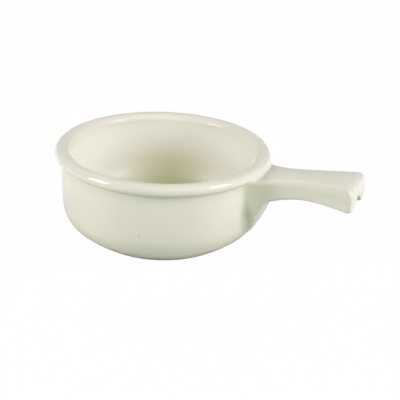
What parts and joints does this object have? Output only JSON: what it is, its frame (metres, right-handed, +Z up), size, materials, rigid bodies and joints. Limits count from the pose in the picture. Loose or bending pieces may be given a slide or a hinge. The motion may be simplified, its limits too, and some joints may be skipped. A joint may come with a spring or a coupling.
{
  "type": "onion soup crock",
  "caption": "Round soup crock with a rolled rim, a turned-in foot and one short stick handle with a grooved underside, glazed stoneware.",
  "frame": {"origin": "on the bowl's axis, in the plane of the table that the foot ring stands on", "axes": "+Z up along the bowl's axis, +X along the handle away from the bowl, +Y to the left of the handle"},
  "size_m": [0.1758, 0.122, 0.0542],
  "materials": {
    "clay": "matte, fired",
    "slip": "matte, fired",
    "glaze": "gloss"
  },
  "bodies": {
    "root": {"bowl": "clay", "handle": "clay", "luting_slip": "slip", "inside_glaze": "glaze", "outside_glaze": "glaze", "handle_glaze": "glaze", "base_glaze": "glaze"}
  },
  "joints": []
}
